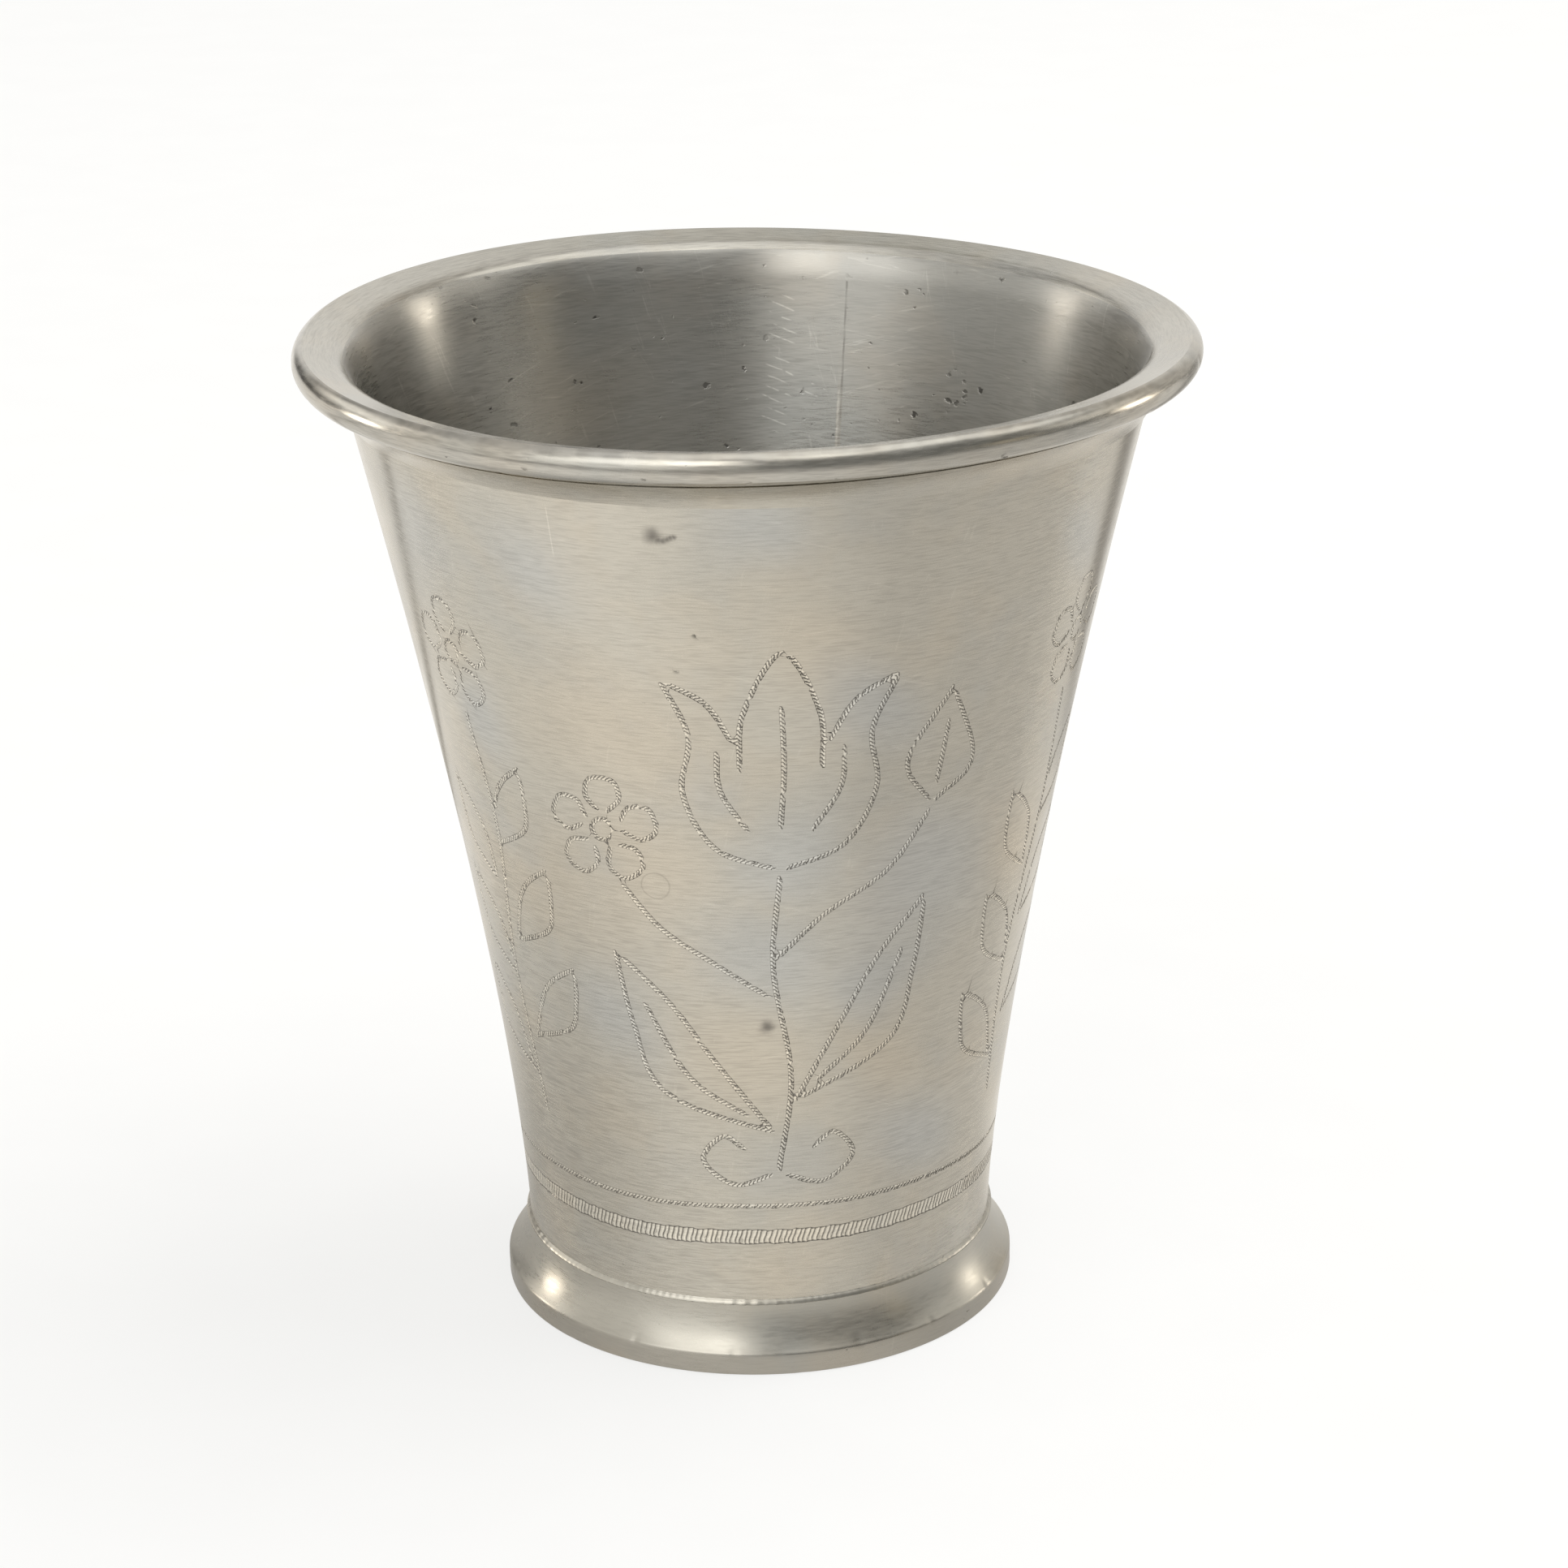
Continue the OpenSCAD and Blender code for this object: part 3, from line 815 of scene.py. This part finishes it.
def build_wall():
    across = np.linspace(-pi * UNROLLED_R, pi * UNROLLED_R, COLUMNS + 1)
    levels = np.linspace(LEDGE_Z, WALL_TOP, ROWS + 1)
    grid_across, grid_level = np.meshgrid(across, levels)
    grid = np.stack([grid_across.ravel(), grid_level.ravel()], axis=1)
    flat, all_faces, depth, dirt_and_glint, new_index = engraved_sheet(grid)
    count = len(flat)
    outer_faces = np.array(all_faces)
    outer_count = len(all_faces)

    level = np.concatenate([flat[:, 1], grid[:, 1]])
    turn = to_turn(np.concatenate([flat[:, 0], grid[:, 0]]), level)
    sunk = np.concatenate([depth, np.full(len(grid), WALL)])
    points = wall_point(turn, level, sunk)

    # Faces: outer triangles, inner quads, then the four edges of the sheet
    outer = new_index[:len(grid)].reshape(ROWS + 1, COLUMNS + 1)
    inner = np.arange(count, count + len(grid)).reshape(ROWS + 1, COLUMNS + 1)
    all_faces += quads(inner[:-1, :-1], inner[1:, :-1], inner[1:, 1:], inner[:-1, 1:])
    plain_count = len(all_faces)
    all_faces += quads(outer[0, 1:], outer[0, :-1], inner[0, :-1], inner[0, 1:])
    all_faces += quads(outer[-1, :-1], outer[-1, 1:], inner[-1, 1:], inner[-1, :-1])
    all_faces += quads(outer[:-1, 0], outer[1:, 0], inner[1:, 0], inner[:-1, 0])
    all_faces += quads(outer[1:, -1], outer[:-1, -1], inner[:-1, -1], inner[1:, -1])
    material_of_face = [0] * outer_count + [1] * (len(all_faces) - outer_count)
    materials = [outside, inside]
    wall = make_piece("wall", points, all_faces, "body_wall", materials, material_of_face)

    # Plain stretches are shaded as one smooth sheet, cuts and edges by their own facets
    mesh = wall.data
    smooth = wall_normal(turn, level)
    smooth[count:] *= -1
    corner_points = np.concatenate(all_faces)
    corner_face = np.repeat(np.arange(len(all_faces)), [len(f) for f in all_faces])
    face_normals = np.empty(3 * len(all_faces))
    mesh.polygons.foreach_get("normal", face_normals)
    face_normals = face_normals.reshape(-1, 3)
    corners = points[outer_faces]
    longest_side = np.linalg.norm(corners - np.roll(corners, 1, axis=1), axis=2).max(axis=1)
    row_end = (depth < 0) & (dirt_and_glint > 0)
    on_grid = np.zeros(count, bool)
    on_grid[new_index[:len(grid)]] = True
    small = np.zeros(len(all_faces), bool)
    small[:outer_count] = (longest_side < FACET_REACH) & ~on_grid[outer_faces].any(axis=1)
    small[:outer_count] &= ~row_end[outer_faces].all(axis=1)
    faceted = small.copy()
    faceted[:outer_count] &= (depth > CUT_DEPTH)[outer_faces].any(axis=1)
    faceted[plain_count:] = True
    normals = np.where(faceted[corner_face][:, None], face_normals[corner_face], smooth[corner_points])
    mesh.normals_split_custom_set(normals.tolist())

    # Dirt and painted highlights stay within the cuts
    all_dirt_and_glint = np.concatenate([dirt_and_glint, np.zeros(len(grid))])
    corner_dirt_and_glint = np.where(small[corner_face], all_dirt_and_glint[corner_points], 0)
    mesh.attributes.new("cut", "FLOAT", "CORNER").data.foreach_set("value", corner_dirt_and_glint)
    for name, patches in (("blue", BLUE_PATCHES), ("warm", WARM_PATCHES)):
        amount = patch_amount(points, patches)
        mesh.attributes.new(name, "FLOAT", "POINT").data.foreach_set("value", amount)


build_wall()


# The seam: a strip of solder between the sheet's edges, worked nearly flush. Inside, a dirty line is left in
# its upper part, with small painted highlights like beads beside the line's lower end
SEAM_ROWS = 200
SEAM_LINE_LOW = 88
SEAM_LINE_HIGH = 96
SEAM_LINE_DEPTH = 0.04
SEAM_LINE_DIRT = 0.22
# Painted highlights in small bead shapes beside the seam line's lower end
SEAM_BEAD_PAINTED_HIGHLIGHT = 0.6


def build_seam():
    across = np.array([-1, -0.5, 0, 0.5, 1, 1, 0.5, 0, -0.5, -1])
    is_inner = np.array([False] * 5 + [True] * 5)
    crown = 1 - across ** 2
    z = np.linspace(LEDGE_Z, WALL_TOP, SEAM_ROWS + 1)[:, None]
    turn = SEAM_TURN + across * gap_half_turn(z)
    rough = 0.015 * np.sin(z * 1.9 + across * 1.3) + 0.01 * np.sin(z * 4.3 + 2 * across)
    free = np.clip(np.minimum(z - LEDGE_Z - 5, SKIRT_Z - z) / 3, 0, 1)
    share = np.clip((z - SEAM_LINE_LOW) / (SEAM_LINE_HIGH - SEAM_LINE_LOW), 0, 1)
    line = share * is_inner * (across == -0.5) * (0.7 + 0.3 * np.sin(z * 1.7))
    bead_highlights = share * (1 - share) * 4 * is_inner * (across == 0.5) * (0.6 + 0.4 * np.sin(z * 6))
    lift = np.where(is_inner, SEAM_LINE_DEPTH * line - crown * free * rough, crown * free * rough)
    radius = wall_radius(z) - WALL * is_inner + lift + wall_unevenness(turn, z + 0 * turn)
    points = place_round(turn, radius, z + 0 * turn).reshape(-1, 3)
    here = np.arange(len(points)).reshape(SEAM_ROWS + 1, len(across))
    beside = np.roll(here, -1, axis=1)
    faces = quads(here[:-1], beside[:-1], beside[1:], here[1:])
    faces += [here[0, ::-1].tolist(), here[-1].tolist()]
    mesh = make_piece("seam", points, faces, "seam_solder", [inside]).data
    mesh.set_sharp_from_angle(angle=radians(50))
    dirt_and_glint = (SEAM_LINE_DIRT * line - SEAM_BEAD_PAINTED_HIGHLIGHT * bead_highlights).ravel()
    mesh.attributes.new("cut", "FLOAT", "POINT").data.foreach_set("value", dirt_and_glint)


build_seam()

# The rim: lip, bead, turned line and collar. Dents are turn in degrees, level, reach and depth
RIM_DENTS = [
    (-8, 110.2, 0.8, 0.07), (-31, 110.1, 0.7, 0.08), (14, 109.9, 0.6, 0.06), (29, 110.4, 0.9, 0.07),
    (-52, 110.0, 0.8, 0.08), (58, 110.2, 0.9, 0.08), (-71, 110.3, 1.0, 0.09), (77, 111.6, 1.2, 0.06),
    (-84, 111.8, 1.1, 0.07), (120, 110.2, 0.9, 0.07), (-140, 111.5, 1.2, 0.06), (170, 110.3, 0.8, 0.07),
]
RIM_WARP = 0.33
RIM_OVAL = 0.1
LIP_FADE = 2.5

# Inside this radius the ring rises from its seat, outside it from the collar's lower edge
INNER_TOP_R = 44.15
seat_z = WALL_TOP + FILM
seat_r = WALL_TOP_R + TOP_SLOPE * FILM


def rim_shift(turn, radius, level):
    """The ring is a little warped and oval, except where it is soldered to the wall."""
    collar_share = np.clip((level - SKIRT_Z) / (GROOVE_BOTTOM - SKIRT_Z), 0, 1)
    lip_share = np.clip((level - seat_z) / LIP_FADE, 0, 1)
    share = np.where(radius > INNER_TOP_R, collar_share, lip_share * lip_share * (3 - 2 * lip_share))
    warp = RIM_WARP * np.sin(2 * turn) + 0.03 * np.sin(3 * turn + 0.4)
    oval = RIM_OVAL * np.sin(2 * turn + 0.9) + 0.02 * np.sin(9 * turn)
    outer = radius > BEAD_X
    return share * oval - outer * dents(turn, radius, level, RIM_DENTS), share * warp


# From the wall's top the metal flares a little, turns over in a tight bend, polished in its upper part, and
# slopes up to a crisp edge on the bead. Angles are those of the surface's outward direction
ARRIS_ANGLE = 69
LIP_ANGLE = 103
FLARE_ANGLE = 152
WALL_ANGLE = 180 - math.degrees(math.atan(TOP_SLOPE))
LIP_BEND_R = 3.0
LIP_STEP = 3
POLISHED_LIP = 136


def facing(degrees):
    return np.array([cos(radians(degrees)), sin(radians(degrees))])


bead = arc((BEAD_X, HEIGHT - BEAD_R), BEAD_R, -90, ARRIS_ANGLE, 6)
seat = np.array([seat_r - WALL, seat_z])
flare_step = facing(FLARE_ANGLE) - facing(WALL_ANGLE)
bend_step = LIP_BEND_R * (facing(LIP_ANGLE) - facing(FLARE_ANGLE))
flare_r = (bead[-1] - seat - bend_step) @ facing(LIP_ANGLE) / (flare_step @ facing(LIP_ANGLE))
flare_centre = seat - flare_r * facing(WALL_ANGLE)
bend_centre = seat + flare_r * flare_step - LIP_BEND_R * facing(FLARE_ANGLE)

collar = hollow((TOP_WALL_R + FILM + EDGE, SKIRT_Z), (COLLAR_TOP_R, GROOVE_BOTTOM), COLLAR_SAG)
rim_profile = painted([(seat_r - WALL, seat_z), (seat_r + FILM, seat_z), (TOP_WALL_R + FILM, SKIRT_Z)], 0)
rim_profile += painted(collar, 1)
rim_profile += painted([(COLLAR_TOP_R - GROOVE_D, GROOVE_BOTTOM + GROOVE_W / 2)], 0)
rim_profile += painted(bead, 0)
rim_profile += painted(arc(bend_centre, LIP_BEND_R, LIP_ANGLE, POLISHED_LIP, LIP_STEP), 0)
rim_profile += painted(arc(bend_centre, LIP_BEND_R, POLISHED_LIP, FLARE_ANGLE, LIP_STEP)[1:], 2)
rim_profile += painted(arc(flare_centre, flare_r, FLARE_ANGLE, WALL_ANGLE, 2)[1:-1], 2)
rim_metals = [rim_metal, outside, inside]
lathe("rim", rim_profile, RIM_STEPS, rim_shift, "rim_moulding", rim_metals, 22)

# The foot: standing face, upright band, hollow slope and inner ledge
FOOT_DENTS = [
    (-6, 2.6, 0.7, 0.04), (4, 2.5, 0.5, 0.03), (22, 2.7, 0.8, 0.08), (-29, 2.6, 0.6, 0.07),
    (41, 2.6, 0.7, 0.08), (-47, 0.5, 0.8, 0.07), (9, 0.4, 0.9, 0.06), (63, 2.6, 0.8, 0.08),
    (-75, 2.5, 0.9, 0.08), (140, 2.6, 0.8, 0.08), (-160, 2.6, 0.8, 0.08), (100, 0.6, 1.0, 0.06),
    (-110, 2.6, 0.7, 0.07), (175, 2.4, 0.9, 0.08),
]
FOOT_OUT_OF_ROUND = 0.04
BAND_SWELL = 0.02
HAIR = 0.01


def foot_shift(turn, radius, level):
    """The foot is a little out of round, except where it stands and where it meets the wall."""
    outer = radius > FOOT_WALL_R + FILM + HAIR
    free = np.clip(level / BAND_H, 0, 1) * np.clip((FOOT_H - level) / 2, 0, 1)
    uneven = FOOT_OUT_OF_ROUND * np.sin(3 * turn + 1.1) * free
    return outer * (uneven - dents(turn, radius, level, FOOT_DENTS)), 0


ledge_r = INNER_FOOT_R - LEDGE_W
solder_r = FOOT_WALL_R + FILM
band = [(FOOT_R - REST_W, 0)]
band += arc((FOOT_R - STANDING_EDGE_R, STANDING_EDGE_R), STANDING_EDGE_R, -90, 0, 15)
band += [(FOOT_R, 1.0), (FOOT_R + BAND_SWELL, 1.8), (FOOT_R, BAND_H - 0.25)]
slope = [(FOOT_R - 0.07, BAND_H - 0.06)]
slope += hollow((FOOT_R - 0.2, BAND_H + 0.08), (solder_r + EDGE, FOOT_H), FOOT_SAG)
slope += [(solder_r, FOOT_H), (solder_r, LEDGE_Z), (ledge_r, LEDGE_Z), (ledge_r, LEDGE_Z - LEDGE_T)]
foot_profile = painted(band, 1) + painted(slope, 0)
lathe("foot", foot_profile, FOOT_STEPS, foot_shift, "foot_ring", [foot_metal, foot_band_metal])

# Solder on the foot's top edge, left rough
LUMP_OUT = 0.02
LUMP_UP = 0.03


def solder_shift(turn, radius, level):
    drift = 4 * np.sin(5 * turn) + 3 * np.sin(11 * turn + 1)
    lump = 0.4 * np.sin(61 * turn + drift) + 0.35 * np.sin(173 * turn - drift)
    lump = lump + 0.25 * np.sin(277 * turn + 2 * drift)
    fillet = (level > FOOT_H - HAIR) * (radius > FOOT_WALL_R - HAIR)
    return fillet * LUMP_OUT * lump, fillet * LUMP_UP * lump


solder_profile = [(FOOT_WALL_R, LEDGE_Z), (solder_r, LEDGE_Z), (solder_r, FOOT_H - 0.05)]
solder_profile += [(FOOT_WALL_R + 0.36, FOOT_H), (FOOT_WALL_R + 0.27, FOOT_H + 0.24)]
solder_profile += [(FOOT_WALL_R + 0.1, FOOT_H + 0.38), (FOOT_WALL_R, FOOT_H + FOOT_FILLET)]
solder_profile = painted(solder_profile, 0)
lathe("foot_fillet", solder_profile, RIM_STEPS, solder_shift, "foot_solder", [fillet_metal], 60)


# The base disc, with turned rings on both faces
def turned_face(level, sink, count=46):
    radii = np.linspace(0.4, INNER_FOOT_R - FILM, count)
    rings = 0.03 * np.sin(radii * 2.9) + 0.02 * np.sin(radii * 5.3 + 1)
    rings *= np.clip((INNER_FOOT_R - FILM - radii) / 2, 0, 1)
    return [(r, level + sink * (1 - (r / INNER_FOOT_R) ** 2) + w) for r, w in zip(radii, rings)]


under = turned_face(LEDGE_Z, 0.25)
over = turned_face(LEDGE_Z + BASE_T, 0.15)
base_profile = painted(under + over[::-1], 0)
lathe("base", base_profile, BASE_STEPS, None, "base_disc", [base_metal], 50, capped=True)

# The solder that stays hidden or plain keeps its own form
for name, material in (("rim_solder", inside), ("base_solder", solder)):
    for material_slot in nodes[name].material_slots:
        material_slot.material = material


# The studio: a pale floor and soft light, brighter on the left
def studio_tone(tree, turn, stops):
    """Brightness round the beaker, by turn from the camera's side in degrees."""
    share = tree.add("MapRange", {"Value": turn, "From Min": -pi, "From Max": pi}).outputs["Result"]
    ramp = tree.add("ValToRGB", {"Fac": share})
    ramp.color_ramp.interpolation = "EASE"
    elements = ramp.color_ramp.elements
    while len(elements) < len(stops):
        elements.new(0.5)
    for element, (degrees, tone) in zip(elements, stops):
        element.position = degrees / 360 + 0.5
        element.color = (*tone, 1)
    return ramp.outputs["Color"]


def turn_of(tree, direction):
    split = tree.add("SeparateXYZ", {0: direction})
    turn = tree.math("ARCTAN2", split.outputs[0], tree.times(split.outputs[1], -1.0))
    return turn, split.outputs[2]


# Tones of the floor and of the plain room, by turn
FLOOR_TONES = [
    (-180, (1.0, 0.97, 0.92)), (-150, (1.0, 0.97, 0.92)), (-140, (0.94, 0.91, 0.86)),
    (-122, (0.92, 0.89, 0.84)), (-108, (0.8, 0.78, 0.74)), (-94, (0.92, 0.9, 0.86)),
    (-40, (1.08, 1.05, 1.0)), (0, (0.88, 0.86, 0.82)), (50, (0.54, 0.52, 0.49)), (100, (0.53, 0.51, 0.48)),
    (122, (0.72, 0.69, 0.64)), (157, (0.9, 0.87, 0.82)), (180, (1.0, 0.97, 0.92)),
]
ROOM_TONES = [
    (-180, (1.0, 0.98, 0.94)), (-158, (0.95, 0.93, 0.9)), (-147, (0.4, 0.39, 0.37)),
    (-122, (0.42, 0.41, 0.39)), (-85, (0.88, 0.86, 0.81)), (-45, (0.95, 0.94, 0.9)),
    (-12, (0.62, 0.62, 0.6)), (10, (0.3, 0.3, 0.29)), (70, (0.22, 0.22, 0.21)), (100, (0.3, 0.29, 0.27)),
    (140, (0.6, 0.57, 0.52)), (158, (0.95, 0.93, 0.89)), (180, (1.0, 0.98, 0.94)),
]
TOP_TONE = (0.78, 0.77, 0.75, 1)
WHITE = (0.92, 0.92, 0.912, 1)
BACKDROP = (0.98, 0.98, 0.972, 1)

# Light panels: turn, half width, elevation, half height and soft edge in degrees, and brightness
PANELS = [
    (-41, 14, 44, 20, 10, (2.0, 1.98, 1.92, 1)),
    (-34, 20, 14, 8, 7, (1.25, 1.24, 1.2, 1)),
    (-18, 11, 44, 14, 7, (2.8, 2.77, 2.68, 1)),
    (92, 50, 68, 8, 6, (1.7, 1.68, 1.62, 1)),
    (105, 20, 50, 7, 6, (1.5, 1.48, 1.42, 1)),
    (104, 22, 26, 9, 8, (1.0, 0.96, 0.88, 1)),
    (111, 4.5, 6, 6, 3.5, (7.6, 7.0, 6.1, 1)),
    (-120, 20, 26, 9, 8, (1.5, 1.46, 1.38, 1)),
    (-109, 4.5, 6, 6, 3.5, (7.6, 7.05, 6.3, 1)),
    (66, 4, 8, 6, 4, (0.85, 0.74, 0.55, 1)),
    (176, 5, 47, 11, 4, (0.74, 0.73, 0.68, 1)),
    (-172, 8, 46, 11, 5, (0.52, 0.51, 0.46, 1)),
    (-143, 13, 2, 9, 4, (0.1, 0.095, 0.09, 1)),
    (0, 190, 90, 20, 8, (1.3, 1.29, 1.26, 1)),
    (28, 14, 66, 9, 6, (2.0, 1.98, 1.9, 1)),
]

# The metal mirrors a table that ends in front, with a dark floor beyond. Near the beaker it is shaded on the
# left and lit on the right. At the back a dark edge runs across it on the left, and another away from the
# beaker on the right. Lengths are in metres, angles in degrees
TABLE_NEAR = -0.14
TABLE_FAR = -0.45
BEYOND_TABLE = 0.4
NEAR_START = 0.15
NEAR_FULL = 0.05
NEAR_SHADE = 0.42
NEAR_GLOW = 0.18
EDGE_BACK = (0.134, 0.141, 0.141, 0.18)
EDGE_LEFT = -0.06
EDGE_RIGHT = -0.035
EDGE_TONE = (0.14, 0.115, 0.08, 1)
RAY_TURNS = (131, 136, 141, 157)
RAY_NEAR = 0.14
RAY_FAR = 0.22
RAY_TONE = (0.07, 0.055, 0.035, 1)
FLOOR_REACH = 4.0
FLOOR_GLOW = 0.8
PAPER_TONES = ((0.90, 0.90, 0.895, 1), (0.93, 0.93, 0.925, 1))


def build_floor():
    mesh = bpy.data.meshes.new("floor")
    corners = [(x * FLOOR_REACH, y * FLOOR_REACH, 0) for x, y in ((-1, -1), (1, -1), (1, 1), (-1, 1))]
    mesh.from_pydata(corners, [], [(0, 1, 2, 3)])
    floor = placed("floor", mesh)
    material = bpy.data.materials.new("white_floor")
    material.use_nodes = True
    tree = Tree(material.node_tree)
    place = tree.add("TexCoord").outputs["Object"]
    turn, _ = turn_of(tree, place)
    tone = studio_tone(tree, turn, FLOOR_TONES)
    split = tree.add("SeparateXYZ", {0: place})
    rightward, backward = split.outputs[0], split.outputs[1]
    tone = tree.shade(tone, tree.ramp(backward, TABLE_FAR, TABLE_NEAR, BEYOND_TABLE, 1.0))
    far = tree.vector("LENGTH", place)
    near = tree.ramp(far, NEAR_START, NEAR_FULL)
    side = tree.math("SINE", turn)
    shade = tree.ramp(side, 0.0, -1.0, 0.0, NEAR_SHADE)
    side = tree.minus(tree.ramp(side, 0.0, 0.6, 0.0, NEAR_GLOW), shade)
    tone = tree.shade(tone, tree.plus(1.0, tree.times(near, side)))
    edge = tree.hump(backward, *EDGE_BACK)
    edge = tree.times(edge, tree.ramp(rightward, EDGE_RIGHT, EDGE_LEFT))
    tone = tree.blend(edge, tone, EDGE_TONE)
    ray = tree.hump(turn, *[radians(degrees) for degrees in RAY_TURNS])
    ray = tree.times(ray, tree.ramp(far, RAY_NEAR, RAY_FAR))
    tone = tree.blend(ray, tone, RAY_TONE)
    path = tree.add("LightPath")
    grain = tree.noise(place, 60.0, 4.0)
    paper = tree.blend(tree.ramp(grain, 0.3, 0.7), *PAPER_TONES)
    lit = tree.add("BsdfDiffuse", {"Color": paper})
    seen = tree.blend(path.outputs["Is Glossy Ray"], WHITE, tone)
    glow = tree.add("Emission", {"Color": seen, "Strength": 1.0})
    watched = tree.plus(path.outputs["Is Camera Ray"], path.outputs["Is Glossy Ray"], clamp=True)
    share = tree.times(watched, FLOOR_GLOW)
    surface = tree.add("MixShader", {0: share, 1: lit.outputs[0], 2: glow.outputs[0]})
    tree.add("OutputMaterial", {"Surface": surface.outputs[0]})
    mesh.materials.append(material)


def build_world():
    world = bpy.data.worlds.new("studio")
    bpy.context.scene.world = world
    world.use_nodes = True
    tree = Tree(world.node_tree)
    turn, height = turn_of(tree, tree.add("TexCoord").outputs["Generated"])
    elevation = tree.math("ARCSINE", height)
    tone = studio_tone(tree, turn, ROOM_TONES)
    tone = tree.blend(tree.ramp(elevation, radians(30), radians(75)), tone, TOP_TONE)
    for *angles, brightness in PANELS:
        panel_turn, half_width, panel_elevation, half_height, edge = [radians(angle) for angle in angles]
        aside = tree.math("ABSOLUTE", tree.minus(turn, panel_turn))
        above = tree.math("ABSOLUTE", tree.minus(elevation, panel_elevation))
        within = tree.ramp(aside, half_width + edge, half_width - edge)
        upright = tree.ramp(above, half_height + edge, half_height - edge)
        tone = tree.blend(tree.times(within, upright), tone, brightness)
    seen = tree.blend(tree.add("LightPath").outputs["Is Camera Ray"], tone, BACKDROP)
    background = tree.add("Background", {"Color": seen, "Strength": 1.0})
    tree.add("OutputWorld", {"Surface": background.outputs[0]})


LAMP_PLACE = Vector((0.7, 0.1, 1.3))
LAMP_AIM = Vector((0, 0, 0.06))


def build_lamp():
    """A soft lamp for the floor and its shadow; the metal mirrors the room instead."""
    lamp = bpy.data.lights.new("softbox", "AREA")
    lamp.shape = "SQUARE"
    lamp.size = 1.2
    lamp.energy = 17
    lamp.color = (1.0, 0.99, 0.97)
    holder = placed("softbox", lamp)
    holder.location = LAMP_PLACE
    holder.rotation_euler = (LAMP_AIM - LAMP_PLACE).to_track_quat("-Z", "Y").to_euler()
    holder.visible_glossy = False


build_floor()
build_world()
build_lamp()

# The camera, at the photo's angle: lens in millimetres, angles in degrees and place in metres
LENS = 97.09
PITCH = 20.583
YAW = 0.4428
ROLL = -0.658
CAMERA_PLACE = (0, -0.45216, 0.22977)


def build_camera():
    camera = bpy.data.cameras.new("camera")
    camera.sensor_width = 36
    camera.lens = LENS
    camera.clip_start = 0.01
    holder = placed("camera", camera)
    pitched = Matrix.Rotation(radians(90 - PITCH), 4, "X") @ Matrix.Rotation(radians(ROLL), 4, "Z")
    turned = Matrix.Rotation(radians(-YAW), 4, "Z") @ pitched
    holder.matrix_world = Matrix.Translation(CAMERA_PLACE) @ turned
    bpy.context.scene.camera = holder


build_camera()
bpy.context.scene.view_settings.view_transform = "Standard"
